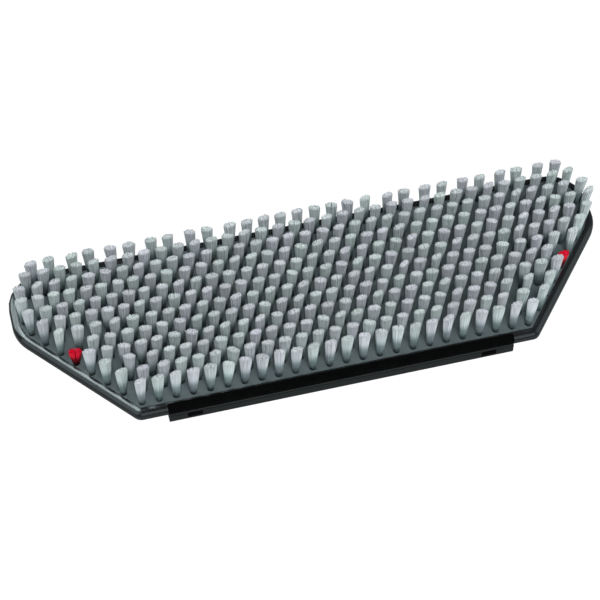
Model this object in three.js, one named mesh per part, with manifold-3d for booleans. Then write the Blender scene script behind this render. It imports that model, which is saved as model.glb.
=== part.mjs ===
// Trapezoid floor brush that slides onto the plate of a flat mop holder.
// It lies on its back with the bristles up. Millimetres, +Z up, +X along the long back edge,
// -Y towards the short front edge, origin under the middle of the brush.

import * as THREE from 'three';
import Module from 'manifold-3d';
import { mergeGeometries, mergeVertices } from 'three/addons/utils/BufferGeometryUtils.js';

// Base plate: a trapezoid with short square ends and a raised rim around the bristle field
const PLATE_WIDTH = 400;
const PLATE_DEPTH = 125;
const PLATE_THICKNESS = 7;
const FRONT_EDGE_LENGTH = 267;
const END_EDGE_LENGTH = 47.2;
const FRONT_CORNER_RADIUS = 6.5;
const SIDE_CORNER_RADIUS = 27;
const BACK_CORNER_RADIUS = 25;
const LEAST_RADIUS = 0.4;
const EDGE_ROUND_WIDTH = 5;
const EDGE_ROUND_DROP = 3.5;
const BOTTOM_CHAMFER = 0.8;
const RIM_WIDTH = 5.5;
const FIELD_BELOW_RIM = 0.8;
const SEAT_INSET = 31;

// Bristles: tufts in a staggered pattern, set in a slice of the plate's top
const TUFT_PITCH = 11.25;
const TUFT_MARGIN = 10;
const TUFT_SIDE_MARGIN = 8.4;
const PITCH_STRETCH = 240;
const LEAST_TUFT_SPACING = 10.3;
const TUFT_LENGTH = 25;
const TUFT_FOOT_RADIUS = 1.8;
const TUFT_TIP_RADIUS = 3.6;
const TUFT_CLEARANCE = 0.3;
const SLICE_THICKNESS = 1.5;
const BACK_CENTRE_COUNT = 9;
const BACK_CENTRE_SPACING = 11.7;
const PAIR_SPACE = 15;
const PAIR_SPACING = 11.6;
const BACK_END_SPACE = 10;

// Wear tufts: one short red tuft at each slanted side
const WEAR_ROW = 4;
const WEAR_LENGTH = 14;
const WEAR_FOOT_DEPTH = 1.6;

// Front rail and rear hooks: they hold the edges of the holder's plate
const LIP_THICKNESS = 1.4;
const SLOT_HEIGHT = 4.4;
const FLANGE_THICKNESS = 1.2;
const HOOK_WALL = 2.4;
const LIP_REACH = 6.6;
const LIP_LEAD_IN = 0.6;
const FLANGE_REACH = 15.6;
const HOOK_ROUND = 0.6;
const HOOK_TOP_ROUND = 1.8;
const RAIL_LENGTH = 231;
const RAIL_SHIFT = 1.5;
const RAIL_PROUD = 1;
const RAIL_RISE = 1.2;
const WINDOW_LENGTH = 10;
const WINDOW_INSET = 17;
const WINDOW_SILL = 0.6;
const WINDOW_RISE = 0.8;
const WINDOW_RELIEF = 1;
const HOOK_LENGTH = 40;
const HOOK_SPACING = 125;
const HOOK_INSET = 6;

// Rubber bumper above the rail, and rubber pads that grip the holder's plate
const BUMPER_THICKNESS = 1.6;
const BUMPER_PROUD = 0.4;
const RIM_LEFT_BY_BUMPER = 1.2;
const PAD_LENGTH = 90;
const PAD_DEPTH = 30;
const PAD_THICKNESS = 0.9;
const PAD_OFFSET = 72;
const PAD_RADIUS = 6;

// Countersunk screws
const SCREW_HEAD_RADIUS = 2.5;
const SCREW_SHANK_RADIUS = 1.2;
const SCREW_HEAD_HEIGHT = 1.2;
const SCREW_SKIN = 0.7;
const SCREW_REACH = 11;
const DRIVE_WIDTH = 0.7;
const DRIVE_LENGTH = 2.8;
const DRIVE_DEPTH = 0.5;
const RAIL_SCREW_TUFTS = 4;
const RAIL_SCREW_SIDES = 2;
const HOOK_SCREW_SPACING = 24;

// Clearances
const FIT = 0.2;
const SEAT_GAP = 0.1;
const SCREW_FIT = 0.15;

// Facets
const CORNER_STEPS = 6;
const ROUND_STEPS = 6;
const ARC_STEPS = 4;
const STRAND_SIDES = 4;
const SCREW_SIDES = 12;
const CUT_OVERRUN = 5;
const MERGE_DISTANCE = 1e-4;

// Levels, from the surface that the brush lies on
const lipTop = LIP_THICKNESS;
const seatLevel = lipTop + SLOT_HEIGHT;
const flangeTop = seatLevel + FLANGE_THICKNESS;
const plateBottom = flangeTop + SEAT_GAP;
const plateTop = plateBottom + PLATE_THICKNESS;
const fieldLevel = plateTop - FIELD_BELOW_RIM;
const sliceBottom = fieldLevel - SLICE_THICKNESS;
const recessFloor = sliceBottom - SEAT_GAP;
const tipLevel = fieldLevel + TUFT_LENGTH;
const railTop = flangeTop + RAIL_RISE;

// Places across the brush
const frontY = -PLATE_DEPTH / 2;
const backY = PLATE_DEPTH / 2;
const railBackY = frontY - RAIL_PROUD + HOOK_WALL;
const bumperBackY = frontY + RIM_WIDTH - RIM_LEFT_BY_BUMPER;
const hookY = backY - HOOK_INSET;
const screwLength = recessFloor - SCREW_SKIN - seatLevel;

const wasm = await Module();
wasm.setup();

// A closed geometry as a solid that can be joined and cut
function toSolid(geometry) {
  const bare = geometry.clone();
  bare.deleteAttribute('normal');
  bare.deleteAttribute('uv');
  const merged = mergeVertices(bare, MERGE_DISTANCE);
  return new wasm.Manifold(new wasm.Mesh({
    numProp: 3,
    vertProperties: new Float32Array(merged.attributes.position.array),
    triVerts: new Uint32Array(merged.index.array),
  }));
}

// A solid as a geometry
function toGeometry(solid) {
  const mesh = solid.getMesh();
  const geometry = new THREE.BufferGeometry();
  geometry.setAttribute('position', new THREE.BufferAttribute(mesh.vertProperties, 3));
  geometry.setIndex(new THREE.BufferAttribute(mesh.triVerts, 1));
  geometry.computeVertexNormals();
  return geometry;
}

// The plate's corners, counter-clockwise from the front left, each with its radius
function plateCorners() {
  const halfFront = FRONT_EDGE_LENGTH / 2;
  const halfWidth = PLATE_WIDTH / 2;
  const sideY = backY - END_EDGE_LENGTH;
  return [
    { at: new THREE.Vector2(-halfFront, frontY), radius: FRONT_CORNER_RADIUS },
    { at: new THREE.Vector2(halfFront, frontY), radius: FRONT_CORNER_RADIUS },
    { at: new THREE.Vector2(halfWidth, sideY), radius: SIDE_CORNER_RADIUS },
    { at: new THREE.Vector2(halfWidth, backY), radius: BACK_CORNER_RADIUS },
    { at: new THREE.Vector2(-halfWidth, backY), radius: BACK_CORNER_RADIUS },
    { at: new THREE.Vector2(-halfWidth, sideY), radius: SIDE_CORNER_RADIUS },
  ];
}

// The plate's outline moved inwards, with every corner as an arc of the same number of steps
function outline(inset, radiusLoss = inset) {
  const corners = plateCorners();
  const points = [];
  corners.forEach((corner, index) => {
    const before = corners[(index + corners.length - 1) % corners.length].at;
    const after = corners[(index + 1) % corners.length].at;
    const into = corner.at.clone().sub(before).normalize();
    const out = after.clone().sub(corner.at).normalize();
    const intoNormal = new THREE.Vector2(-into.y, into.x);
    const outNormal = new THREE.Vector2(-out.y, out.x);
    const shift = inset / (1 + intoNormal.dot(outNormal));
    const moved = corner.at.clone().addScaledVector(intoNormal.clone().add(outNormal), shift);
    const turn = Math.acos(into.dot(out));
    const radius = Math.max(corner.radius - radiusLoss, LEAST_RADIUS);
    const start = moved.clone().addScaledVector(into, -radius * Math.tan(turn / 2));
    const centre = start.clone().addScaledVector(intoNormal, radius);
    for (let step = 0; step <= CORNER_STEPS; step += 1) {
      const point = start.clone().rotateAround(centre, (turn * step) / CORNER_STEPS);
      points.push(point);
    }
  });
  return points;
}

// A closed shell through outlines at given insets and levels, flat at its two ends
function ringGeometry(rings) {
  const loops = rings.map((ring) => outline(ring.inset));
  const count = loops[0].length;
  const positions = [];
  loops.forEach((loop, level) => {
    loop.forEach((point) => positions.push(point.x, point.y, rings[level].z));
  });
  const index = [];
  for (let level = 0; level < loops.length - 1; level += 1) {
    for (let side = 0; side < count; side += 1) {
      const next = (side + 1) % count;
      const a = level * count + side;
      const b = level * count + next;
      const c = a + count;
      const d = b + count;
      index.push(a, b, d, a, d, c);
    }
  }
  THREE.ShapeUtils.triangulateShape(loops[0], []).forEach(([a, b, c]) => index.push(a, c, b));
  const last = (loops.length - 1) * count;
  THREE.ShapeUtils.triangulateShape(loops[loops.length - 1], []).forEach(([a, b, c]) => {
    index.push(last + a, last + b, last + c);
  });
  const geometry = new THREE.BufferGeometry();
  geometry.setAttribute('position', new THREE.Float32BufferAttribute(positions, 3));
  geometry.setIndex(index);
  return geometry;
}

// The plate's outside from the bottom edge up to the rim's flat top, moved out by a distance
function edgeRings(proud) {
  const rings = [
    { inset: BOTTOM_CHAMFER - proud, z: plateBottom },
    { inset: -proud, z: plateBottom + BOTTOM_CHAMFER },
  ];
  for (let step = 0; step <= ROUND_STEPS; step += 1) {
    const angle = (Math.PI / 2) * (step / ROUND_STEPS);
    rings.push({
      inset: EDGE_ROUND_WIDTH * (1 - Math.cos(angle)) - proud,
      z: plateTop - EDGE_ROUND_DROP * (1 - Math.sin(angle)) + proud,
    });
  }
  return rings;
}

// A section drawn in Y and Z, extruded along X and centred on X = 0
function extrudeAlongX(shape, length) {
  const settings = { depth: length, bevelEnabled: false, curveSegments: ARC_STEPS };
  const geometry = new THREE.ExtrudeGeometry(shape, settings);
  geometry.translate(0, 0, -length / 2);
  const turn = new THREE.Matrix4().makeBasis(
    new THREE.Vector3(0, 1, 0),
    new THREE.Vector3(0, 0, 1),
    new THREE.Vector3(1, 0, 0),
  );
  return geometry.applyMatrix4(turn);
}

// A shape from a list of points
function polygon(points) {
  return new THREE.Shape(points.map(([x, y]) => new THREE.Vector2(x, y)));
}

// A countersunk screw with its head's face at Z = 0, pointing up, grown by a clearance
function screwGeometry(clearance) {
  const head = SCREW_HEAD_RADIUS + clearance;
  const shank = SCREW_SHANK_RADIUS + clearance;
  const profile = [
    new THREE.Vector2(0, -clearance),
    new THREE.Vector2(head, -clearance),
    new THREE.Vector2(shank, SCREW_HEAD_HEIGHT),
    new THREE.Vector2(shank, screwLength + clearance),
    new THREE.Vector2(0, screwLength + clearance),
  ];
  return new THREE.LatheGeometry(profile, SCREW_SIDES).rotateX(Math.PI / 2);
}

// The screw with a cross cut into its head
function crossHeadScrew() {
  const across = new THREE.BoxGeometry(DRIVE_LENGTH, DRIVE_WIDTH, 2 * DRIVE_DEPTH);
  const along = new THREE.BoxGeometry(DRIVE_WIDTH, DRIVE_LENGTH, 2 * DRIVE_DEPTH);
  const cross = toSolid(across).add(toSolid(along));
  return toGeometry(toSolid(screwGeometry(0)).subtract(cross));
}

// The holes that a set of screws needs, as one cutter
function screwCutter(places) {
  const holes = places.map(([x, y]) => screwGeometry(SCREW_FIT).translate(x, y, seatLevel));
  return toSolid(mergeGeometries(holes));
}

// The section of a hook: a lip below, a wall, and a flange that lies under the plate
function hookSection(rise) {
  const lipEnd = HOOK_WALL + LIP_REACH;
  const flangeEnd = HOOK_WALL + FLANGE_REACH;
  const top = flangeTop + rise;
  const shape = new THREE.Shape();
  shape.moveTo(HOOK_ROUND, 0);
  shape.lineTo(lipEnd, 0);
  shape.lineTo(lipEnd, lipTop - LIP_LEAD_IN);
  shape.lineTo(lipEnd - LIP_LEAD_IN, lipTop);
  shape.lineTo(HOOK_WALL, lipTop);
  shape.lineTo(HOOK_WALL, seatLevel);
  shape.lineTo(flangeEnd, seatLevel);
  shape.lineTo(flangeEnd, flangeTop);
  if (rise > 0) {
    shape.lineTo(HOOK_WALL, flangeTop);
    shape.lineTo(HOOK_WALL, top);
  }
  shape.lineTo(HOOK_TOP_ROUND, top);
  shape.absarc(HOOK_TOP_ROUND, top - HOOK_TOP_ROUND, HOOK_TOP_ROUND, Math.PI / 2, Math.PI, false);
  shape.lineTo(0, HOOK_ROUND);
  shape.absarc(HOOK_ROUND, HOOK_ROUND, HOOK_ROUND, Math.PI, Math.PI * 1.5, false);
  return shape;
}

// Half the length at a given Y of the line that the rows end on, which keeps the plate's corner radii
function tuftLineHalf(y) {
  const points = outline(TUFT_SIDE_MARGIN, 0);
  const reach = points.map((point, index) => {
    const next = points[(index + 1) % points.length];
    const low = Math.min(point.y, next.y);
    const high = Math.max(point.y, next.y);
    if (y < low || y > high) {
      return 0;
    }
    const share = high === low ? 0 : (y - point.y) / (next.y - point.y);
    return Math.max(point.x + share * (next.x - point.x), high === low ? next.x : 0);
  });
  return Math.max(...reach);
}

// Tufts on the pitch from the middle of a row outwards, as far as a given X
function onPitch(first, limit) {
  const places = [];
  for (let x = first; x <= limit; x += TUFT_PITCH) {
    places.push(x);
  }
  return places;
}

// A row that is the same on both sides, with its end tufts first
function mirroredRow(places, y) {
  return [...places].reverse().flatMap((x) => (x > 0 ? [{ x: -x, y }, { x, y }] : [{ x, y }]));
}

// One staggered row: on the pitch in its middle stretch, then evenly spaced out to the tuft line
function latticeRow(order, y) {
  const end = tuftLineHalf(y);
  const first = order % 2 === 0 ? TUFT_PITCH / 2 : 0;
  const places = onPitch(first, Math.min(PITCH_STRETCH / 2, end - LEAST_TUFT_SPACING));
  const last = places[places.length - 1];
  const spaces = Math.floor((end - last) / LEAST_TUFT_SPACING);
  for (let space = 1; space <= spaces; space += 1) {
    places.push(last + ((end - last) * space) / spaces);
  }
  return mirroredRow(places, y);
}

// The back row: an even stretch in the middle, then pairs out to both ends
function backRow(y) {
  const row = [];
  const centreEnd = (BACK_CENTRE_SPACING * (BACK_CENTRE_COUNT - 1)) / 2;
  for (let order = 0; order < BACK_CENTRE_COUNT; order += 1) {
    row.push({ x: order * BACK_CENTRE_SPACING - centreEnd, y });
  }
  const limit = PLATE_WIDTH / 2 - TUFT_MARGIN - BACK_END_SPACE;
  let x = centreEnd + PAIR_SPACE;
  while (x + PAIR_SPACING <= limit) {
    [x, x + PAIR_SPACING].forEach((place) => row.push({ x: place, y }, { x: -place, y }));
    x += PAIR_SPACING + PAIR_SPACE;
  }
  return row;
}

// All rows from the front edge to the back edge
function tuftRows() {
  const rowStep = (TUFT_PITCH * Math.sqrt(3)) / 2;
  const frontRowY = frontY + TUFT_MARGIN;
  const backRowY = backY - TUFT_MARGIN;
  const lastY = backRowY - 2 * TUFT_TIP_RADIUS - TUFT_CLEARANCE;
  const rows = [mirroredRow(onPitch(TUFT_PITCH / 2, tuftLineHalf(frontRowY)), frontRowY)];
  for (let order = 1; frontRowY + order * rowStep <= lastY; order += 1) {
    rows.push(latticeRow(order, frontRowY + order * rowStep));
  }
  rows.push(backRow(backRowY));
  return rows;
}

// A tuft as a four-sided strand, wider at its tip
function strand(place, bottom, length, tipRadius) {
  const geometry = new THREE.CylinderGeometry(tipRadius, TUFT_FOOT_RADIUS, length, STRAND_SIDES);
  return geometry.rotateX(Math.PI / 2).translate(place.x, place.y, bottom + length / 2);
}

// The part of an outline between two levels of Y
function clipBand(points, low, high) {
  const keep = (list, inside, level) => list.flatMap((point, index) => {
    const next = list[(index + 1) % list.length];
    const kept = inside(point.y) ? [point] : [];
    if (inside(point.y) !== inside(next.y)) {
      kept.push(point.clone().lerp(next, (level - point.y) / (next.y - point.y)));
    }
    return kept;
  });
  const above = keep(points, (y) => y >= low, low);
  return keep(above, (y) => y <= high, high);
}

const rows = tuftRows();
const wearPlaces = rows[WEAR_ROW].slice(0, 2);
const wearHoleRadius = TUFT_FOOT_RADIUS + FIT;

// The holes for the wear tufts' feet, as one cutter from a given level up to the field
function wearCutter(bottom) {
  const length = fieldLevel + CUT_OVERRUN - bottom;
  const holes = wearPlaces.map((place) => {
    const hole = new THREE.CylinderGeometry(wearHoleRadius, wearHoleRadius, length, STRAND_SIDES);
    return hole.rotateX(Math.PI / 2).translate(place.x, place.y, bottom + length / 2);
  });
  return toSolid(mergeGeometries(holes));
}

// One slice of the bristle field with the strands of its rows
function bristleField(fieldRows, low, high) {
  const points = clipBand(outline(RIM_WIDTH + FIT), low + FIT / 2, high - FIT / 2);
  const slice = new THREE.Shape(points);
  const slab = new THREE.ExtrudeGeometry(slice, { depth: SLICE_THICKNESS, bevelEnabled: false });
  const foot = sliceBottom + SLICE_THICKNESS / 2;
  const places = fieldRows.flat().filter((place) => !wearPlaces.includes(place));
  const strands = places.map((place) => strand(place, foot, tipLevel - foot, TUFT_TIP_RADIUS));
  const body = toSolid(slab.translate(0, 0, sliceBottom)).add(toSolid(mergeGeometries(strands)));
  const hasWear = wearPlaces.some((place) => fieldRows.flat().includes(place));
  return toGeometry(hasWear ? body.subtract(wearCutter(sliceBottom - CUT_OVERRUN)) : body);
}

// A short tuft whose foot goes through the slice into the plate
function wearTuft(place) {
  const bottom = recessFloor - WEAR_FOOT_DEPTH + SEAT_GAP;
  const foot = strand(place, bottom, fieldLevel - bottom + FIT, TUFT_FOOT_RADIUS);
  const top = strand(place, fieldLevel, WEAR_LENGTH, TUFT_TIP_RADIUS);
  return toGeometry(toSolid(foot).add(toSolid(top)));
}

// Screw places of the rail, midway between tufts of the front row, and of the rear hooks
const railScrewY = frontY - RAIL_PROUD + HOOK_WALL + SCREW_REACH;
const railScrewPlaces = [];
for (let order = -RAIL_SCREW_SIDES; order <= RAIL_SCREW_SIDES; order += 1) {
  railScrewPlaces.push([order * RAIL_SCREW_TUFTS * TUFT_PITCH, railScrewY]);
}
const hookCentres = { left: -HOOK_SPACING, middle: 0, right: HOOK_SPACING };
const hookScrewY = hookY - HOOK_WALL - SCREW_REACH;
const hookScrewPlaces = Object.values(hookCentres).flatMap((x) => [
  [x - HOOK_SCREW_SPACING / 2, hookScrewY],
  [x + HOOK_SCREW_SPACING / 2, hookScrewY],
]);

// The space of the bumper in front of and above the plate's edge, grown by a clearance
function bumperSpace(bottom, clearance) {
  const outer = frontY - CUT_OVERRUN;
  const step = plateTop - BUMPER_THICKNESS - clearance;
  const section = polygon([
    [outer, bottom],
    [railBackY + clearance, bottom],
    [railBackY + clearance, step],
    [bumperBackY + clearance, step],
    [bumperBackY + clearance, plateTop + CUT_OVERRUN],
    [outer, plateTop + CUT_OVERRUN],
  ]);
  return toSolid(extrudeAlongX(section, RAIL_LENGTH + 2 * clearance).translate(RAIL_SHIFT, 0, 0));
}

// A grip pad's block, grown by a clearance, with its face level with the seat
function padGeometry(clearance, over) {
  const halfLength = PAD_LENGTH / 2 + clearance;
  const halfDepth = PAD_DEPTH / 2 + clearance;
  const radius = PAD_RADIUS + clearance;
  const shape = new THREE.Shape();
  shape.absarc(halfLength - radius, -halfDepth + radius, radius, -Math.PI / 2, 0, false);
  shape.absarc(halfLength - radius, halfDepth - radius, radius, 0, Math.PI / 2, false);
  shape.absarc(-halfLength + radius, halfDepth - radius, radius, Math.PI / 2, Math.PI, false);
  shape.absarc(-halfLength + radius, -halfDepth + radius, radius, Math.PI, Math.PI * 1.5, false);
  const depth = PAD_THICKNESS + over;
  return new THREE.ExtrudeGeometry(shape, { depth, bevelEnabled: false, curveSegments: ARC_STEPS });
}

const padCentres = { left: -PAD_OFFSET, right: PAD_OFFSET };

// The base plate with its recess, the seat under it, and the places of what is fixed to it
function basePlate() {
  const rings = edgeRings(0);
  rings.push({ inset: RIM_WIDTH, z: plateTop });
  rings.push({ inset: RIM_WIDTH, z: recessFloor });
  const seatTop = (plateBottom + recessFloor) / 2;
  const seat = ringGeometry([
    { inset: SEAT_INSET + BOTTOM_CHAMFER, z: seatLevel },
    { inset: SEAT_INSET, z: seatLevel + BOTTOM_CHAMFER },
    { inset: SEAT_INSET, z: seatTop },
  ]);
  const pockets = Object.values(padCentres).map((x) => (
    padGeometry(FIT, SEAT_GAP + CUT_OVERRUN).translate(x, 0, seatLevel - CUT_OVERRUN)
  ));
  return toGeometry(toSolid(ringGeometry(rings))
    .add(toSolid(seat))
    .subtract(toSolid(mergeGeometries(pockets)))
    .subtract(bumperSpace(plateBottom - CUT_OVERRUN, FIT))
    .subtract(wearCutter(recessFloor - WEAR_FOOT_DEPTH))
    .subtract(screwCutter(railScrewPlaces))
    .subtract(screwCutter(hookScrewPlaces)));
}

// The windows near the ends of the rail's wall, from a low sill to above the slot, as one cutter
function windowCutter() {
  const offset = RAIL_LENGTH / 2 - WINDOW_INSET;
  const depth = CUT_OVERRUN + HOOK_WALL + WINDOW_RELIEF;
  const height = SLOT_HEIGHT - WINDOW_SILL + WINDOW_RISE;
  const windows = [-offset, offset].map((x) => (
    new THREE.BoxGeometry(WINDOW_LENGTH, depth, height).translate(
      RAIL_SHIFT + x,
      railBackY + WINDOW_RELIEF - depth / 2,
      lipTop + WINDOW_SILL + height / 2,
    )
  ));
  return toSolid(mergeGeometries(windows));
}

// The front rail with its windows and screw holes
function hookRail() {
  const rail = extrudeAlongX(hookSection(RAIL_RISE), RAIL_LENGTH)
    .translate(RAIL_SHIFT, frontY - RAIL_PROUD, 0);
  return toGeometry(toSolid(rail)
    .subtract(windowCutter())
    .subtract(screwCutter(railScrewPlaces)));
}

// A rear hook, the same section turned round, with its screw holes
function rearHook(x) {
  const hook = extrudeAlongX(hookSection(0), HOOK_LENGTH).rotateZ(Math.PI).translate(x, hookY, 0);
  return toGeometry(toSolid(hook).subtract(screwCutter(hookScrewPlaces)));
}

// The rubber bumper, which follows the plate's edge and stands a little proud of it
function bumperStrip() {
  const body = toSolid(ringGeometry(edgeRings(BUMPER_PROUD)));
  return toGeometry(body.intersect(bumperSpace(railTop + FIT, 0)));
}

const materials = {
  plate: new THREE.MeshStandardMaterial({ color: 0x494b51, roughness: 0.55, metalness: 0 }),
  rail: new THREE.MeshStandardMaterial({ color: 0x35373b, roughness: 0.5, metalness: 0 }),
  rubber: new THREE.MeshStandardMaterial({ color: 0x0c0c0d, roughness: 0.85, metalness: 0 }),
  bristle: new THREE.MeshStandardMaterial({ color: 0xbdbdb9, roughness: 0.45, metalness: 0 }),
  wear: new THREE.MeshStandardMaterial({ color: 0xc20d2c, roughness: 0.45, metalness: 0 }),
  screw: new THREE.MeshStandardMaterial({ color: 0xb4b8bd, roughness: 0.3, metalness: 1 }),
};

const brush = new THREE.Group();

// The rail stands in front of the plate, so the plate moves back to centre the whole depth
brush.position.y = RAIL_PROUD / 2;

function addPiece(name, geometry, material) {
  const mesh = new THREE.Mesh(geometry, material);
  mesh.name = name;
  brush.add(mesh);
  return mesh;
}

addPiece('base_plate', basePlate(), materials.plate);
addPiece('hook_rail', hookRail(), materials.rail);
addPiece('bumper_strip', bumperStrip(), materials.rubber);

const fieldNames = ['front', 'mid_front', 'mid_rear', 'rear'];
const fieldOf = (order) => Math.floor((order * fieldNames.length) / rows.length);
fieldNames.forEach((name, field) => {
  const own = rows.filter((row, order) => fieldOf(order) === field);
  const first = rows.indexOf(own[0]);
  const last = first + own.length - 1;
  const low = first === 0 ? frontY : (rows[first - 1][0].y + rows[first][0].y) / 2;
  const high = last === rows.length - 1 ? backY : (rows[last][0].y + rows[last + 1][0].y) / 2;
  addPiece(`bristle_field_${name}`, bristleField(own, low, high), materials.bristle);
});

['left', 'right'].forEach((side, order) => {
  addPiece(`wear_tuft_${side}`, wearTuft(wearPlaces[order]), materials.wear);
});

Object.entries(hookCentres).forEach(([side, x]) => {
  addPiece(`rear_hook_${side}`, rearHook(x), materials.rail);
});

Object.entries(padCentres).forEach(([side, x]) => {
  const pad = addPiece(`grip_pad_${side}`, padGeometry(0, 0), materials.rubber);
  pad.position.set(x, 0, seatLevel);
});

const screw = crossHeadScrew();
function addScrews(name, places) {
  places.forEach(([x, y], order) => {
    addPiece(`${name}_${order + 1}`, screw, materials.screw).position.set(x, y, seatLevel);
  });
}
addScrews('rail_screw', railScrewPlaces);
addScrews('hook_screw', hookScrewPlaces);

export default brush;
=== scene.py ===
"""Looks of a trapezoid floor brush that lies on its back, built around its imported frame.

Metres, +Z up, +X along the long back edge, -Y towards the short front edge.
"""

import math

import bpy
import numpy as np
from mathutils import Matrix, Vector
from mathutils.geometry import delaunay_2d_cdt


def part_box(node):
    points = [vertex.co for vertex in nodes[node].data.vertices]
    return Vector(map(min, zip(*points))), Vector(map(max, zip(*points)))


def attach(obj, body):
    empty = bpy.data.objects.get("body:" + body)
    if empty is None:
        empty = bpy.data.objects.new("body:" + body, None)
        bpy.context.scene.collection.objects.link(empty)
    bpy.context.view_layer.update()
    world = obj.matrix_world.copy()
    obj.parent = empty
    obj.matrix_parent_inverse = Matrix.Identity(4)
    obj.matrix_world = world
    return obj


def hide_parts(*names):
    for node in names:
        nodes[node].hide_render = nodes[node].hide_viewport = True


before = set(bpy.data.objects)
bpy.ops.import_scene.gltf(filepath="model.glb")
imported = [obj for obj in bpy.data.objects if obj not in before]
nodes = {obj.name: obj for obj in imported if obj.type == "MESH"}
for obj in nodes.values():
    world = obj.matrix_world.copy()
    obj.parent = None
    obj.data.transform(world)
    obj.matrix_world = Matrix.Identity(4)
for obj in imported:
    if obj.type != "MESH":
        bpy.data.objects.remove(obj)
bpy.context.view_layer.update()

MM = 0.001

# The photograph's camera, aimed at a point on the level of the bristle tips
LENS_MM = 122.35
SENSOR_MM = 36.0
CAMERA_AZIMUTH = math.radians(-15.66)
CAMERA_ELEVATION = math.radians(55.89)
CAMERA_ROLL = math.radians(1.79)
CAMERA_TARGET = Vector((-16.5, -15.5, 38.3)) * MM
CAMERA_DISTANCE = 1318 * MM

# Plate, as in the solids, with its corners counter-clockwise from the front left
FRONT_EDGE_LENGTH = 267 * MM
END_EDGE_LENGTH = 47.2 * MM
CORNER_RADII = [radius * MM for radius in (6.5, 6.5, 27, 25, 25, 27)]
LEAST_RADIUS = 0.4 * MM
CORNER_STEPS = 12
RIM_WIDTH = 5.5 * MM

# Bed that the tufts are set in
BED_FIT = 0.2 * MM
BED_BELOW_RIM = 0.8 * MM
BED_THICKNESS = 1.5 * MM
HOLE_RADIUS = 2.2 * MM
HOLE_CHAMFER = 0.2 * MM
HOLE_DEPTH = 1.1 * MM
HOLE_SIDES = 14
# A triangle whose middle lies within this share of a hole's inner circle is part of the hole
HOLE_SHARE = 0.98
# The triangulation keeps only what lies inside the outline
INSIDE_ONLY = 1

# Filaments of a tuft, from the foot of the folded bundle to its oval tip
FILAMENTS = 110
FILAMENT_RADIUS = 0.3 * MM
FILAMENT_SIDES = 6
FILAMENT_LEVELS = (0.0, 0.45, 0.98, 1.0)
FILAMENT_POINTS = FILAMENT_SIDES * len(FILAMENT_LEVELS)
GOLDEN_ANGLE = math.pi * (3 - math.sqrt(5))
TIP_ROUND = 0.75
TIP_DOME = 0.25 * MM
DOME_POWER = 3
TUFT_FOOT_RADIUS = 1.8 * MM
TUFT_TIP_RADII = (3.7 * MM, 2.1 * MM)
FOOT_DEPTH = 1.0 * MM
SPREAD_POWER = 0.8
SPLIT = 0.2 * MM
WEAR_SPLIT = 0.4 * MM

# How tufts and filaments differ: even ranges, the deepest cut below the tips, and spreads of bell curves
SEED = 11
SPREAD_RANGE = (0.94, 1.08)
SPLIT_RANGE = (0.6, 1.0)
BEND_RANGE = (0.7, 1.3)
STRIP_TINTS = (0.86, 1.06)
TUFT_TINTS = (0.94, 1.05)
CUT_JITTER = 0.35 * MM
FOLD_TURN = 0.22
STRAY = 0.16 * MM
LEAN_SCATTER = 0.25 * MM

# Lean of the tips, to the right and to the back, all over and near the plate's edges
COMBED_LEAN = (0.45 * MM, 0.45 * MM)
EDGE_REACH = 12.5 * MM
FRONT_LEAN = (0.1 * MM, 0.5 * MM)
BACK_LEAN = (-1.0 * MM, 0.9 * MM)
SIDE_LEAN = 0.8 * MM
RIGHT_END_LEAN = 1.6 * MM
# A tuft is at the right end where the X part of its shortest way to the edge, of length 1, is over this
END_SIDE = 0.9

# Painted highlight in the middle of a tuft and painted shade towards its outside, and hues between tufts
TINT_STRIPS = 5
MIDDLE_PAINTED_HIGHLIGHT = 1.06
OUTSIDE_PAINTED_SHADE = 0.86
GREEN_CAST = (0.95, 1.0, 0.955)
LILAC_CAST = (1.0, 0.955, 1.0)

# Map for baking, where each end of a filament is an oval across the strip of its sides
BAKE_MAP = "OFBake"
CAP_MIDDLE = 0.5
CAP_HALF_WIDTH = 0.4
CAP_HALF_HEIGHT = 0.02
TIP_CAP_LEVEL = 0.97
FOOT_CAP_LEVEL = 0.03

# Softened edges of the solids
EDGE_SEGMENTS = 3
FLAT_ANGLE = math.radians(0.4)
EDGE_ANGLE = math.radians(32)
SMOOTH_ANGLE = math.radians(34)

# Points and levels closer than this are the same, and so are those alike to these decimal places
WELD_DISTANCE = 0.002 * MM
TIP_DIGITS = 6
ROW_DIGITS = 4
BED_DIGITS = 7

# Where most values of a noise texture lie
NOISE_SPAN = (0.3, 0.7)

# Floor
FLOOR_HALF = 6.0
FLOOR_DROP = 0.3 * MM
FLOOR_GREY = (0.2, 0.2, 0.2, 1.0)
FLOOR_ROUGHNESS = 0.9
FLOOR_GLOW = 1.6
FLOOR_WHITE = 1.03

# Light of the studio, by level from straight down at 0 to straight up at 1, and of its backdrop
STUDIO_LIGHT = [(0.47, 0.3), (0.5, 0.1), (0.9, 0.1)]
BACKDROP_LIGHT = 0.92
COOL_WHITE = (0.84, 1.0, 1.02)
PLAIN_WHITE = (1.0, 1.0, 1.0)

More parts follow.
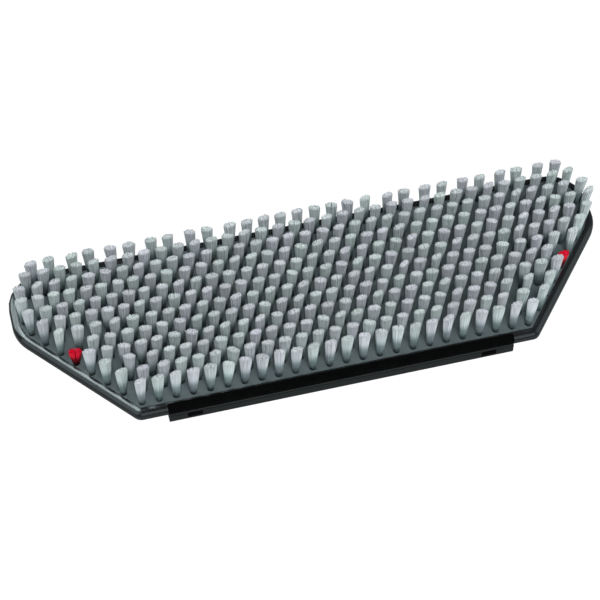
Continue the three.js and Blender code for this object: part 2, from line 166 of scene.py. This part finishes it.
# Lamps as name, direction from the brush, distance, width and height, and power in watts
NEAR_LAMP = 1.5
FAR_LAMP = 6.0
GLOSS_LAMPS = [
    ("key_softbox", (-0.33, 0.33, 0.88), NEAR_LAMP, (0.8, 0.8), 24.0),
    ("left_sheen", (-0.76, -0.24, 0.6), NEAR_LAMP, (1.1, 1.9), 9.0),
    ("end_sheen", (-0.68, 0.54, 0.45), NEAR_LAMP, (0.7, 1.0), 14.0),
    ("right_sheen", (0.96, -0.16, 0.36), NEAR_LAMP, (1.0, 1.2), 3.0),
    ("front_sheen", (0.12, -0.83, 0.54), NEAR_LAMP, (1.4, 1.1), 6.0),
]
MATT_LAMPS = [
    ("top_softbox", (-0.04, -0.53, 0.85), FAR_LAMP, (2.4, 2.4), 320.0),
    ("right_softbox", (1, -0.3, 0.16), NEAR_LAMP, (1.6, 0.3), 10.0),
    ("back_softbox", (0, 1, 0.3), NEAR_LAMP, (1.6, 0.3), 9.0),
]

rng = np.random.default_rng(SEED)

# Nodes that are replaced, and levels that come from the frame
FIELDS = [f"bristle_field_{name}" for name in ("front", "mid_front", "mid_rear", "rear")]
WEAR_TUFTS = ["wear_tuft_left", "wear_tuft_right"]
plate_low, plate_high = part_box("base_plate")
bed_level = plate_high.z - BED_BELOW_RIM
bed_bottom = bed_level - BED_THICKNESS
tip_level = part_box(FIELDS[0])[1].z
wear_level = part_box(WEAR_TUFTS[0])[1].z


# Places on the plate


def plate_outline(inset):
    """The plate's outline moved inwards, counter-clockwise from the front left, as (x, y) points."""
    half_front = FRONT_EDGE_LENGTH / 2
    side_y = plate_high.y - END_EDGE_LENGTH
    corners = [
        Vector((-half_front, plate_low.y)),
        Vector((half_front, plate_low.y)),
        Vector((plate_high.x, side_y)),
        Vector((plate_high.x, plate_high.y)),
        Vector((plate_low.x, plate_high.y)),
        Vector((plate_low.x, side_y)),
    ]
    points = []
    for index, corner in enumerate(corners):
        into = (corner - corners[index - 1]).normalized()
        out = (corners[(index + 1) % len(corners)] - corner).normalized()
        into_normal = Vector((-into.y, into.x))
        out_normal = Vector((-out.y, out.x))
        moved = corner + (into_normal + out_normal) * (inset / (1 + into_normal.dot(out_normal)))
        turn = math.acos(into.dot(out))
        radius = max(CORNER_RADII[index] - inset, LEAST_RADIUS)
        start = moved - into * (radius * math.tan(turn / 2))
        centre = start + into_normal * radius
        for step in range(CORNER_STEPS + 1):
            turned = Matrix.Rotation(turn * step / CORNER_STEPS, 2) @ (start - centre)
            points.append(centre + turned)
    return points


PLATE_EDGE = plate_outline(0)


def way_out(place):
    """The distance from a place to the plate's edge, and the direction there."""
    best = None
    for index, end in enumerate(PLATE_EDGE):
        start = PLATE_EDGE[index - 1]
        along = end - start
        share = max(0.0, min(1.0, (place - start).dot(along) / along.length_squared))
        away = start + along * share - place
        if best is None or away.length < best.length:
            best = away
    return best.length, best.normalized()


def rounded(point, digits):
    """A point's X and Y in a form that finds the same point again."""
    return round(point.x, digits), round(point.y, digits)


def tuft_places(node):
    """The middle of each strand's flat tip on a CAD bristle node."""
    mesh = nodes[node].data
    groups = []
    for polygon in mesh.polygons:
        corners = [mesh.vertices[index].co for index in polygon.vertices]
        if min(corner.z for corner in corners) < tip_level - WELD_DISTANCE:
            continue
        found = {rounded(corner, TIP_DIGITS) for corner in corners}
        touching = [group for group in groups if group & found]
        groups = [group for group in groups if not group & found]
        groups.append(found.union(*touching))
    places = []
    for group in groups:
        xs = [x for x, y in group]
        ys = [y for x, y in group]
        places.append(Vector(((min(xs) + max(xs)) / 2, (min(ys) + max(ys)) / 2)))
    return sorted(places, key=lambda place: (round(place.y, ROW_DIGITS), place.x))


def rows_of(places):
    """Places in groups of the same Y."""
    rows = {}
    for place in places:
        rows.setdefault(round(place.y, ROW_DIGITS), []).append(place)
    return list(rows.values())


def wear_place(node):
    """The middle of a wear tuft."""
    low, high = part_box(node)
    return Vector(((low.x + high.x) / 2, (low.y + high.y) / 2))


# Materials


class NodeTree:
    """Short ways to add nodes to a tree and to link them."""

    def __init__(self, tree):
        self.tree = tree

    def add(self, kind, **settings):
        node = self.tree.nodes.new(kind)
        for name, value in settings.items():
            setattr(node, name, value)
        return node

    def link(self, source, target):
        self.tree.links.new(source, target)

    def put(self, value, socket):
        """Sets a socket to a value, or links an output to it."""
        if isinstance(value, bpy.types.NodeSocket):
            self.link(value, socket)
        else:
            socket.default_value = value

    def height(self, vector):
        """The Z part of a vector."""
        split = self.add("ShaderNodeSeparateXYZ")
        self.link(vector, split.inputs["Vector"])
        return split.outputs["Z"]

    def ranged(self, value, span, to):
        """A value carried from one span over to another."""
        node = self.add("ShaderNodeMapRange")
        for name, number in zip(("From Min", "From Max", "To Min", "To Max"), (*span, *to)):
            node.inputs[name].default_value = number
        self.link(value, node.inputs["Value"])
        return node.outputs["Result"]

    def ramp(self, value, stops):
        """A colour ramp over (position, colour) stops."""
        node = self.add("ShaderNodeValToRGB")
        elements = node.color_ramp.elements
        while len(elements) < len(stops):
            elements.new(0.5)
        for element, (position, colour) in zip(elements, stops):
            element.position = position
            element.color = (*colour, 1.0)
        self.link(value, node.inputs["Fac"])
        return node.outputs["Color"]

    def mixed(self, share, first, second):
        """Two shaders mixed by a share, which is a number or an output."""
        node = self.add("ShaderNodeMixShader")
        self.put(share, node.inputs["Fac"])
        self.link(first, node.inputs[1])
        self.link(second, node.inputs[2])
        return node.outputs["Shader"]


class Shading(NodeTree):
    """A new material with its node tree, its principled shader and its object coordinates."""

    def __init__(self, name):
        self.material = bpy.data.materials.new(name)
        self.material.use_nodes = True
        super().__init__(self.material.node_tree)
        self.shader = self.tree.nodes["Principled BSDF"]
        self.coordinates = self.add("ShaderNodeTexCoord").outputs["Object"]

    def give(self, name, value):
        """Sets an input of the principled shader to a value, or links an output to it."""
        self.put(value, self.shader.inputs[name])

    def surface(self, shader):
        """Shows another shader in place of the principled one."""
        self.link(shader, self.tree.nodes["Material Output"].inputs["Surface"])

    def stretched(self, scale):
        """Object coordinates scaled by a vector."""
        mapping = self.add("ShaderNodeMapping")
        mapping.inputs["Scale"].default_value = scale
        self.link(self.coordinates, mapping.inputs["Vector"])
        return mapping.outputs["Vector"]

    def noise(self, scale, detail, vector=None):
        node = self.add("ShaderNodeTexNoise")
        node.inputs["Scale"].default_value = scale
        node.inputs["Detail"].default_value = detail
        self.link(vector or self.coordinates, node.inputs["Vector"])
        return node.outputs["Fac"]

    def times(self, first, second):
        """Two colours multiplied."""
        node = self.add("ShaderNodeMix", data_type="RGBA", blend_type="MULTIPLY")
        node.inputs["Factor"].default_value = 1.0
        self.link(first, node.inputs["A"])
        self.link(second, node.inputs["B"])
        return node.outputs["Result"]

    def bump(self, height, distance, strength):
        node = self.add("ShaderNodeBump")
        node.inputs["Strength"].default_value = strength
        node.inputs["Distance"].default_value = distance
        self.link(height, node.inputs["Height"])
        self.link(node.outputs["Normal"], self.shader.inputs["Normal"])


def moulded_plastic(name, dark, light, roughness, specular, grain=900.0, stretch=(1, 1, 1)):
    """Moulded plastic with slow colour changes, smears in its gloss and a fine grain."""
    shading = Shading(name)
    clouds = shading.noise(scale=45.0, detail=3.0)
    shading.give("Base Color", shading.ramp(clouds, list(zip(NOISE_SPAN, (dark, light)))))
    smears = shading.noise(scale=120.0, detail=4.0)
    smoothest = roughness - 0.05
    roughest = roughness + 0.07
    shading.give("Roughness", shading.ranged(smears, NOISE_SPAN, (smoothest, roughest)))
    shading.give("Specular IOR Level", specular)
    grains = shading.noise(scale=grain, detail=2.0, vector=shading.stretched(stretch))
    shading.bump(grains, distance=0.03 * MM, strength=0.2)
    return shading.material


def rubber(name):
    """Matt black rubber with a dusty, fine-grained face."""
    shading = Shading(name)
    black = (0.001, 0.001, 0.001)
    dusty = (0.002, 0.002, 0.002)
    dust = shading.noise(scale=200.0, detail=4.0)
    shading.give("Base Color", shading.ramp(dust, [(0.35, black), (0.75, dusty)]))
    shading.give("Roughness", shading.ranged(dust, NOISE_SPAN, (0.68, 0.84)))
    shading.give("Specular IOR Level", 0.03)
    shading.bump(shading.noise(scale=2200.0, detail=2.0), distance=0.04 * MM, strength=0.4)
    return shading.material


def steel(name):
    """Plain stainless steel with a fine grain."""
    shading = Shading(name)
    dull = (0.46, 0.47, 0.49)
    bright = (0.62, 0.63, 0.64)
    clouds = shading.noise(scale=700.0, detail=3.0)
    shading.give("Base Color", shading.ramp(clouds, list(zip(NOISE_SPAN, (dull, bright)))))
    shading.give("Roughness", shading.ranged(clouds, NOISE_SPAN, (0.24, 0.4)))
    shading.give("Metallic", 1.0)
    shading.bump(shading.noise(scale=5000.0, detail=1.0), distance=0.01 * MM, strength=0.3)
    return shading.material


def nylon(name, stops, foot, tip, roughness, glow):
    """Nylon filaments: colour from foot to tip, tints with painted light and shade in a tuft, hues by tuft
    and light through them.
    """
    shading = Shading(name)
    rise = shading.ranged(shading.height(shading.coordinates), (foot, tip), (0.0, 1.0))
    tint_and_painted_light = shading.add("ShaderNodeAttribute", attribute_name="tint_and_painted_light")
    hue = shading.add("ShaderNodeAttribute", attribute_name="hue")
    tuft_colour = shading.ramp(hue.outputs["Fac"], [(0.0, GREEN_CAST), (1.0, LILAC_CAST)])
    colour = shading.times(shading.ramp(rise, stops), tint_and_painted_light.outputs["Color"])
    colour = shading.times(colour, tuft_colour)
    shading.give("Base Color", colour)
    foot_roughness = roughness + 0.12
    shading.give("Roughness", shading.ranged(rise, (0.0, 1.0), (foot_roughness, roughness)))
    shading.give("Specular IOR Level", 0.35)
    through = shading.add("ShaderNodeBsdfTranslucent")
    shading.link(colour, through.inputs["Color"])
    shading.surface(shading.mixed(glow, shading.shader.outputs["BSDF"], through.outputs["BSDF"]))
    return shading.material


plate_plastic = moulded_plastic(
    "plate_plastic",
    dark=(0.006, 0.0062, 0.007),
    light=(0.011, 0.0113, 0.0125),
    roughness=0.22,
    specular=0.5,
)
bed_plastic = moulded_plastic(
    "bed_plastic",
    dark=(0.083, 0.104, 0.109),
    light=(0.104, 0.129, 0.135),
    roughness=0.5,
    specular=0.25,
)
rail_plastic = moulded_plastic(
    "rail_plastic",
    dark=(0.003, 0.003, 0.0035),
    light=(0.005, 0.005, 0.0055),
    roughness=0.36,
    specular=0.36,
    grain=700.0,
    stretch=(0.08, 1, 1),
)
black_rubber = rubber("black_rubber")
screw_steel = steel("screw_steel")
# Grey bristles: darker towards the foot, with a painted highlight on the cut ends at the very tip
grey_bristle = nylon(
    "grey_bristle",
    [
        (0.0, (0.215, 0.29, 0.3)),
        (0.4, (0.26, 0.34, 0.353)),
        (0.62, (0.61, 0.695, 0.716)),
        (0.73, (0.675, 0.742, 0.764)),
        (0.972, (0.625, 0.686, 0.706)),
        (0.99, (0.885, 0.93, 0.955)),
    ],
    foot=bed_level,
    tip=tip_level,
    roughness=0.34,
    glow=0.2,
)
red_bristle = nylon(
    "red_bristle",
    [
        (0.0, (0.02, 0.001, 0.002)),
        (0.45, (0.24, 0.002, 0.01)),
        (0.7, (0.95, 0.004, 0.035)),
        (1.0, (1.0, 0.004, 0.045)),
    ],
    foot=bed_level,
    tip=wear_level,
    roughness=0.32,
    glow=0.25,
)


# Solids that stay: softened edges, smooth round faces and a material


def smooth_by_angle():
    """A node group that shades faces smooth and keeps edges over an angle sharp."""
    group = bpy.data.node_groups.new("smooth_by_angle", "GeometryNodeTree")
    for way in ("INPUT", "OUTPUT"):
        group.interface.new_socket("Geometry", in_out=way, socket_type="NodeSocketGeometry")
    tree = NodeTree(group)
    start = tree.add("NodeGroupInput")
    bare = tree.add("GeometryNodeRemoveAttribute")
    bare.inputs["Name"].default_value = "custom_normal"
    faces = tree.add("GeometryNodeSetShadeSmooth")
    edges = tree.add("GeometryNodeSetShadeSmooth", domain="EDGE")
    end = tree.add("NodeGroupOutput")
    for before, after in ((start, bare), (bare, faces), (faces, edges), (edges, end)):
        tree.link(before.outputs["Geometry"], after.inputs["Geometry"])
    angle = tree.add("GeometryNodeInputMeshEdgeAngle")
    below = tree.add("FunctionNodeCompare", operation="LESS_THAN")
    below.inputs["B"].default_value = SMOOTH_ANGLE
    tree.link(angle.outputs["Unsigned Angle"], below.inputs["A"])
    tree.link(below.outputs["Result"], edges.inputs["Shade Smooth"])
    return group


smoothing = smooth_by_angle()


def finish_solid(node, material, slot, edge_width):
    """Gives a CAD node soft edges, smooth shading and its material."""
    piece = nodes[node]
    piece.data.materials.clear()
    piece.data.materials.append(material)
    weld = piece.modifiers.new("weld", "WELD")
    weld.merge_threshold = WELD_DISTANCE
    flat = piece.modifiers.new("join_flat_faces", "DECIMATE")
    flat.decimate_type = "DISSOLVE"
    flat.angle_limit = FLAT_ANGLE
    soft = piece.modifiers.new("soft_edges", "BEVEL")
    soft.width = edge_width
    soft.segments = EDGE_SEGMENTS
    soft.limit_method = "ANGLE"
    soft.angle_limit = EDGE_ANGLE
    soft.miter_outer = "MITER_ARC"
    piece.modifiers.new("smooth", "NODES").node_group = smoothing
    weighted = piece.modifiers.new("even_normals", "WEIGHTED_NORMAL")
    weighted.keep_sharp = True


# Material, slot in the record and width of the soft edges, by how a node's name starts
FINISHES = {
    "base_plate": (plate_plastic, "plate_plastic", 0.45 * MM),
    "hook_rail": (rail_plastic, "rail_plastic", 0.25 * MM),
    "bumper_strip": (black_rubber, "black_rubber", 0.35 * MM),
    "rear_hook": (rail_plastic, "rail_plastic", 0.25 * MM),
    "grip_pad": (black_rubber, "black_rubber", 0.2 * MM),
    "rail_screw": (screw_steel, "screw_steel", 0.06 * MM),
    "hook_screw": (screw_steel, "screw_steel", 0.06 * MM),
}
for node_name in sorted(nodes):
    for start_of_name, finish in FINISHES.items():
        if node_name.startswith(start_of_name):
            finish_solid(node_name, *finish)


# Bristles and the bed that they are set in


def add_piece(name, vertices, faces, material, replaced):
    """A mesh object that rides on the brush and stands for CAD nodes."""
    mesh = bpy.data.meshes.new(name)
    mesh.from_pydata(vertices, [], faces)
    mesh.materials.append(material)
    piece = bpy.data.objects.new(name, mesh)
    bpy.context.scene.collection.objects.link(piece)
    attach(piece, "root")
    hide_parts(*replaced)
    return piece


def reach_of(order):
    """How far out in a tuft filaments stand, from 0 to 1, so that they fill a disc evenly."""
    return np.sqrt((order + 0.5) / FILAMENTS)


def tuft_lean(place):
    """How far a tuft's tip leans: combed one way, and bent where it stands near the plate's edge."""
    distance, outwards = way_out(place)
    lean = COMBED_LEAN + rng.normal(0, LEAN_SCATTER, 2)
    if distance < EDGE_REACH:
        bent = np.array(FRONT_LEAN if outwards.y < 0 else BACK_LEAN) * outwards.y ** 2
        bent[0] += SIDE_LEAN * outwards.x
        if outwards.x > END_SIDE:
            bent[0] += RIGHT_END_LEAN
        lean += bent * rng.uniform(*BEND_RANGE)
    return lean


def tuft_lines(place, tip, split):
    """The centre lines of one tuft's filaments, as an array of filaments by levels by 3."""
    order = np.arange(FILAMENTS)
    angle = order * GOLDEN_ANGLE + rng.uniform(0, math.tau)
    reach = reach_of(order)
    ring = np.stack([np.cos(angle), np.sin(angle)], 1)
    foot = ring * (reach * TUFT_FOOT_RADIUS)[:, None]
    fold = rng.normal(0, FOLD_TURN)
    across = np.array([math.cos(fold), math.sin(fold)])
    along = np.array([-across[1], across[0]])
    wide, narrow = TUFT_TIP_RADII
    oval = np.outer(ring @ across, across) * wide + np.outer(ring @ along, along) * narrow
    spread = oval * (reach * rng.uniform(*SPREAD_RANGE))[:, None]
    half = np.sign(foot @ across)
    spread += (half * split * rng.uniform(*SPLIT_RANGE))[:, None] * across
    spread += rng.normal(0, STRAY, (FILAMENTS, 2))
    lean = tuft_lean(place)
    bottom = bed_level - FOOT_DEPTH
    top = tip - rng.uniform(0, CUT_JITTER, FILAMENTS) - TIP_DOME * reach ** DOME_POWER
    levels = np.array(FILAMENT_LEVELS)
    share = (levels ** SPREAD_POWER)[:, None]
    lines = np.empty((FILAMENTS, len(levels), 3))
    lines[:, :, :2] = np.array(place) + foot[:, None] + (spread - foot)[:, None] * share + lean * share
    lines[:, :, 2] = bottom + (top - bottom)[:, None] * levels
    return lines


def filament_template():
    """The faces of one filament, and where their corners lie on the bake map, from 0 to 1."""
    sides = FILAMENT_SIDES
    faces = []
    places = []
    for level, (below, above) in enumerate(zip(FILAMENT_LEVELS, FILAMENT_LEVELS[1:])):
        low = level * sides
        high = low + sides
        for side in range(sides):
            after = (side + 1) % sides
            left = side / sides
            right = (side + 1) / sides
            faces.append((low + side, low + after, high + after, high + side))
            places.append(((left, below), (right, below), (right, above), (left, above)))
    top = (len(FILAMENT_LEVELS) - 1) * sides
    for first in (0, sides // 2):
        cap = [(first + step) % sides for step in range(sides // 2 + 1)]
        turns = [math.tau * corner / sides for corner in cap]
        spots = [(CAP_MIDDLE + CAP_HALF_WIDTH * math.cos(t), CAP_HALF_HEIGHT * math.sin(t)) for t in turns]
        faces.append(tuple(top + corner for corner in cap))
        places.append(tuple((u, TIP_CAP_LEVEL + v) for u, v in spots))
        faces.append(tuple(reversed(cap)))
        places.append(tuple((u, FOOT_CAP_LEVEL + v) for u, v in reversed(spots)))
    return np.array(faces), np.array(places)


TEMPLATE_FACES, TEMPLATE_PLACES = filament_template()


def paint_tufts(mesh, count):
    """Gives the strips of each tuft their tints, a painted highlight in its middle and painted shade towards
    its outside, and each tuft its hue.
    """
    strip_tints = rng.uniform(*STRIP_TINTS, (count, TINT_STRIPS))
    tuft_tints = rng.uniform(*TUFT_TINTS, (count, 1))
    tuft_hues = rng.uniform(0, 1, count)
    order = np.arange(count * FILAMENTS)
    tuft_of = order // FILAMENTS
    strip_of = order % TINT_STRIPS
    # A painted highlight in the middle of each tuft and painted shade towards its outside
    painted_light_and_shade = MIDDLE_PAINTED_HIGHLIGHT + (OUTSIDE_PAINTED_SHADE - MIDDLE_PAINTED_HIGHLIGHT) * reach_of(order % FILAMENTS) ** 2
    tints_and_painted_light = (strip_tints * tuft_tints)[tuft_of, strip_of] * painted_light_and_shade
    for name, values in (("tint_and_painted_light", tints_and_painted_light), ("hue", tuft_hues[tuft_of])):
        attribute = mesh.attributes.new(name, "FLOAT", "POINT")
        attribute.data.foreach_set("value", np.repeat(values, FILAMENT_POINTS))


def lay_bake_map(mesh, count):
    """Gives each strip of each tuft its own place on the bake map."""
    order = np.arange(count * FILAMENTS)
    tuft_of = order // FILAMENTS
    strip_of = order % TINT_STRIPS
    cells = math.ceil(math.sqrt(count))
    corner = np.stack([tuft_of % cells + strip_of / TINT_STRIPS, tuft_of // cells], 1)
    spots = corner[:, None, None] + TEMPLATE_PLACES * np.array([1 / TINT_STRIPS, 1.0])
    mesh.uv_layers.new(name=BAKE_MAP).uv.foreach_set("vector", (spots / cells).ravel())


def bristle_piece(name, tufts, tip, split, material, replaced):
    """All filaments of some tufts as one mesh, with tints, painted light and shade, hues and a bake map."""
    lines = np.concatenate([tuft_lines(place, tip, split) for place in tufts])
    turn = np.arange(FILAMENT_SIDES) * math.tau / FILAMENT_SIDES
    circle = np.stack([np.cos(turn), np.sin(turn), np.zeros(FILAMENT_SIDES)], 1)
    thickness = np.full(len(FILAMENT_LEVELS), FILAMENT_RADIUS)
    thickness[-1] *= TIP_ROUND
    vertices = lines[:, :, None] + circle * thickness[:, None, None]
    starts = np.arange(len(lines)) * FILAMENT_POINTS
    faces = TEMPLATE_FACES + starts[:, None, None]
    piece = add_piece(name, vertices.reshape(-1, 3), faces.reshape(-1, 4), material, replaced)
    mesh = piece.data
    mesh.polygons.foreach_set("use_smooth", np.ones(len(mesh.polygons), bool))
    paint_tufts(mesh, len(tufts))
    lay_bake_map(mesh, len(tufts))


def bristle_bed(places):
    """The bed that the tufts are set in: a slab with a chamfered hole around each tuft."""
    outline = plate_outline(RIM_WIDTH + BED_FIT)
    mouth = HOLE_RADIUS + HOLE_CHAMFER
    turns = [math.tau * side / HOLE_SIDES for side in range(HOLE_SIDES)]
    spokes = [Vector((math.cos(turn), math.sin(turn))) for turn in turns]
    flat_points = list(outline)
    loops = [list(range(len(outline)))]
    for place in places:
        loops.append(list(range(len(flat_points), len(flat_points) + HOLE_SIDES)))
        flat_points += [place + spoke * mouth for spoke in spokes]
    edges = [(loop[index - 1], loop[index]) for loop in loops for index in range(len(loop))]
    points, _, triangles, *_ = delaunay_2d_cdt(flat_points, edges, [loops[0]], INSIDE_ONLY, WELD_DISTANCE)

    centres = np.array(places)
    open_radius = mouth * math.cos(math.pi / HOLE_SIDES) * HOLE_SHARE
    vertices = [(point.x, point.y, bed_level) for point in points]
    faces = []
    for triangle in triangles:
        middle = sum((points[index] for index in triangle), Vector((0, 0))) / len(triangle)
        if np.hypot(*(centres - np.array(middle)).T).min() > open_radius:
            faces.append(tuple(triangle))

    known = {rounded(point, BED_DIGITS): index for index, point in enumerate(points)}
    for place, loop in zip(places, loops[1:]):
        ring = [known[rounded(flat_points[index], BED_DIGITS)] for index in loop]
        wall = [place + spoke * HOLE_RADIUS for spoke in spokes]
        for level in (bed_level - HOLE_CHAMFER, bed_level - HOLE_DEPTH):
            lower = list(range(len(vertices), len(vertices) + HOLE_SIDES))
            vertices += [(point.x, point.y, level) for point in wall]
            for index in range(HOLE_SIDES):
                faces.append((lower[index - 1], lower[index], ring[index], ring[index - 1]))
            ring = lower
        faces.append(tuple(ring))

    rim = [known[rounded(point, BED_DIGITS)] for point in outline]
    under = list(range(len(vertices), len(vertices) + len(outline)))
    vertices += [(point.x, point.y, bed_bottom) for point in outline]
    for index in range(len(rim)):
        faces.append((rim[index - 1], under[index - 1], under[index], rim[index]))
    faces.append(tuple(reversed(under)))
    add_piece("bristle_bed", vertices, faces, bed_plastic, FIELDS)


all_places = []
row_count = 0
for field in FIELDS:
    field_places = tuft_places(field)
    all_places += field_places
    for row in rows_of(field_places):
        row_count += 1
        row_name = f"bristle_row_{row_count:02d}"
        bristle_piece(row_name, row, tip_level, SPLIT, grey_bristle, [field])
for wear in WEAR_TUFTS:
    spot = wear_place(wear)
    all_places.append(spot)
    bristle_piece(f"{wear}_bristles", [spot], wear_level, WEAR_SPLIT, red_bristle, [wear])
bristle_bed(all_places)


# Camera, floor and light


def add_camera():
    """The photograph's camera, with its roll."""
    azimuth, elevation, roll = CAMERA_AZIMUTH, CAMERA_ELEVATION, CAMERA_ROLL
    back = Vector((
        math.sin(azimuth) * math.cos(elevation),
        -math.cos(azimuth) * math.cos(elevation),
        math.sin(elevation),
    ))
    level_right = Vector((math.cos(azimuth), math.sin(azimuth), 0))
    level_up = back.cross(level_right)
    right = level_right * math.cos(roll) + level_up * math.sin(roll)
    up = level_up * math.cos(roll) - level_right * math.sin(roll)
    data = bpy.data.cameras.new("camera")
    data.lens = LENS_MM
    data.sensor_width = SENSOR_MM
    camera = bpy.data.objects.new("camera", data)
    turned = Matrix((right, up, back)).transposed().to_4x4()
    camera.matrix_world = Matrix.Translation(CAMERA_TARGET + back * CAMERA_DISTANCE) @ turned
    bpy.context.scene.collection.objects.link(camera)
    bpy.context.scene.camera = camera


def add_floor():
    """A floor that glows as a light table does, looks plain white, and hides nothing from below."""
    mesh = bpy.data.meshes.new("floor")
    corners = [(-1, -1), (1, -1), (1, 1), (-1, 1)]
    mesh.from_pydata([(x * FLOOR_HALF, y * FLOOR_HALF, -FLOOR_DROP) for x, y in corners], [], [(0, 1, 2, 3)])
    floor = bpy.data.objects.new("floor", mesh)
    floor.visible_glossy = False
    bpy.context.scene.collection.objects.link(floor)
    shading = Shading("floor_white")
    shading.give("Base Color", FLOOR_GREY)
    shading.give("Roughness", FLOOR_ROUGHNESS)
    shading.give("Specular IOR Level", 0.0)
    shading.give("Emission Color", (*PLAIN_WHITE, 1.0))
    shading.give("Emission Strength", FLOOR_GLOW)
    white = shading.add("ShaderNodeEmission")
    white.inputs["Strength"].default_value = FLOOR_WHITE
    seen = shading.add("ShaderNodeLightPath").outputs["Is Camera Ray"]
    paper = shading.mixed(seen, shading.shader.outputs["BSDF"], white.outputs["Emission"])
    from_below = shading.add("ShaderNodeNewGeometry").outputs["Backfacing"]
    clear = shading.add("ShaderNodeBsdfTransparent")
    shading.surface(shading.mixed(from_below, paper, clear.outputs["BSDF"]))
    mesh.materials.append(shading.material)


def add_world():
    """A dim, cool studio with some light from below the horizon, and a pale backdrop for the camera."""
    world = bpy.data.worlds.new("studio")
    world.use_nodes = True
    studio = NodeTree(world.node_tree)
    direction = studio.add("ShaderNodeTexCoord").outputs["Generated"]
    level = studio.ranged(studio.height(direction), (-1.0, 1.0), (0.0, 1.0))
    stops = [(position, [light * part for part in COOL_WHITE]) for position, light in STUDIO_LIGHT]
    background = studio.tree.nodes["Background"]
    studio.link(studio.ramp(level, stops), background.inputs["Color"])
    backdrop = studio.add("ShaderNodeBackground")
    backdrop.inputs["Color"].default_value = (BACKDROP_LIGHT, BACKDROP_LIGHT, BACKDROP_LIGHT, 1.0)
    seen = studio.add("ShaderNodeLightPath").outputs["Is Camera Ray"]
    shown = studio.mixed(seen, background.outputs["Background"], backdrop.outputs["Background"])
    studio.link(shown, studio.tree.nodes["World Output"].inputs["Surface"])
    bpy.context.scene.world = world


def add_softbox(name, direction, distance, size, power, glossy):
    """A large soft lamp that looks at the brush, and lights only glossy or only matt reflections."""
    data = bpy.data.lights.new(name, "AREA")
    data.shape = "RECTANGLE"
    data.size, data.size_y = size
    data.energy = power
    data.color = COOL_WHITE if glossy else PLAIN_WHITE
    lamp = bpy.data.objects.new(name, data)
    away = Vector(direction).normalized()
    lamp.location = CAMERA_TARGET + away * distance
    lamp.rotation_mode = "QUATERNION"
    lamp.rotation_quaternion = (-away).to_track_quat("-Z", "Y")
    lamp.visible_camera = False
    lamp.visible_diffuse = not glossy
    lamp.visible_glossy = glossy
    bpy.context.scene.collection.objects.link(lamp)


add_camera()
add_floor()
add_world()
for gloss_lamp in GLOSS_LAMPS:
    add_softbox(*gloss_lamp, glossy=True)
for matt_lamp in MATT_LAMPS:
    add_softbox(*matt_lamp, glossy=False)
bpy.context.scene.view_settings.view_transform = "Standard"
